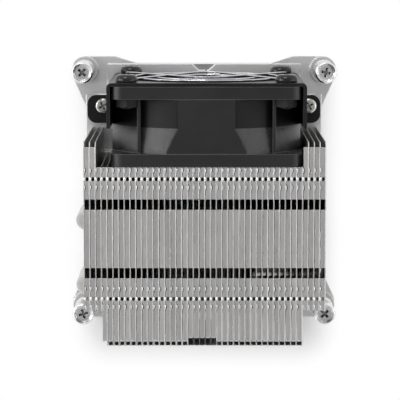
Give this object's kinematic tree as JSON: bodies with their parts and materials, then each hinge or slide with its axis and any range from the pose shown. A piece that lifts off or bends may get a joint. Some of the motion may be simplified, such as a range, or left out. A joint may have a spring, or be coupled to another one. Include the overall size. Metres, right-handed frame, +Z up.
{
  "type": "active server cpu cooler with fan",
  "caption": "Server CPU cooler: folded fins on a cast base with copper cold plate and heat pipes, a fan in a steel bracket with a wire guard, and sprung captive screws.",
  "frame": {"origin": "centre of the cold plate's contact face and of the screw pattern", "axes": "+Z up, from the contact face to the fin tops; +Y towards the fan; +X to the right when looking down with the fan at the far side"},
  "size_m": [0.0888, 0.0888, 0.064],
  "materials": {
    "cast_aluminium": "satin",
    "fin_aluminium": "satin",
    "copper": "satin",
    "nickel": "bright",
    "bright_steel": "bright",
    "chrome_wire": "bright",
    "black_plastic": "satin",
    "black_coated_steel": "satin",
    "black_steel": "satin",
    "plain_steel": "satin",
    "bronze": "satin",
    "magnet_rubber": "matt",
    "board_green": "satin",
    "coil_copper": "gloss"
  },
  "bodies": {
    "heatsink": {"base": "cast_aluminium", "cold_plate": "copper", "heat_pipe_1": "nickel", "heat_pipe_2": "nickel", "heat_pipe_3": "nickel", "heat_pipe_4": "nickel", "left_fins": "fin_aluminium", "centre_fins": "fin_aluminium", "right_fins": "fin_aluminium", "fan_outlet": "black_plastic", "fan_duct": "black_plastic", "fan_inlet": "black_plastic", "shaft_bearing": "bronze", "circuit_board": "board_green", "stator_core": "plain_steel", "stator_coils": "coil_copper", "fan_bracket": "black_coated_steel", "guard_ring_inner": "chrome_wire", "guard_ring_middle": "chrome_wire", "guard_ring_outer": "chrome_wire", "guard_legs": "chrome_wire", "guard_screws": "black_steel", "guard_nuts": "black_steel", "bracket_screws": "bright_steel", "screw_spring_1": "plain_steel", "screw_spring_2": "plain_steel", "screw_spring_3": "plain_steel", "screw_spring_4": "plain_steel"},
    "fan_rotor": {"impeller": "black_plastic", "rotor_yoke": "plain_steel", "rotor_magnet": "magnet_rubber", "fan_shaft": "bright_steel", "shaft_clip": "plain_steel"},
    "clip_1": {"screw_clip_1": "plain_steel"},
    "screw_1": {"captive_screw_1": "bright_steel"},
    "clip_2": {"screw_clip_2": "plain_steel"},
    "screw_2": {"captive_screw_2": "bright_steel"},
    "clip_3": {"screw_clip_3": "plain_steel"},
    "screw_3": {"captive_screw_3": "bright_steel"},
    "clip_4": {"screw_clip_4": "plain_steel"},
    "screw_4": {"captive_screw_4": "bright_steel"}
  },
  "joints": [
    {"name": "fan_spin", "type": "hinge", "parent": "heatsink", "child": "fan_rotor", "pos_m": [0.00072, 0.0253, 0.034], "axis": [0, 1, 0], "continuous": true},
    {"name": "screw_1_press", "type": "slide", "parent": "heatsink", "child": "clip_1", "axis": [0, 0, -1], "range_m": [0, 0.004], "stiffness_N_per_m": 2000, "springref_m": -0.004, "deforming": ["screw_spring_1"]},
    {"name": "screw_1_turn", "type": "hinge", "parent": "clip_1", "child": "screw_1", "pos_m": [-0.04, 0.04, 0.0102], "axis": [0, 0, 1], "continuous": true},
    {"name": "screw_2_press", "type": "slide", "parent": "heatsink", "child": "clip_2", "axis": [0, 0, -1], "range_m": [0, 0.004], "stiffness_N_per_m": 2000, "springref_m": -0.004, "deforming": ["screw_spring_2"]},
    {"name": "screw_2_turn", "type": "hinge", "parent": "clip_2", "child": "screw_2", "pos_m": [0.04, 0.04, 0.0102], "axis": [0, 0, 1], "continuous": true},
    {"name": "screw_3_press", "type": "slide", "parent": "heatsink", "child": "clip_3", "axis": [0, 0, -1], "range_m": [0, 0.004], "stiffness_N_per_m": 2000, "springref_m": -0.004, "deforming": ["screw_spring_3"]},
    {"name": "screw_3_turn", "type": "hinge", "parent": "clip_3", "child": "screw_3", "pos_m": [-0.04, -0.04, 0.0102], "axis": [0, 0, 1], "continuous": true},
    {"name": "screw_4_press", "type": "slide", "parent": "heatsink", "child": "clip_4", "axis": [0, 0, -1], "range_m": [0, 0.004], "stiffness_N_per_m": 2000, "springref_m": -0.004, "deforming": ["screw_spring_4"]},
    {"name": "screw_4_turn", "type": "hinge", "parent": "clip_4", "child": "screw_4", "pos_m": [0.04, -0.04, 0.0102], "axis": [0, 0, 1], "continuous": true}
  ]
}
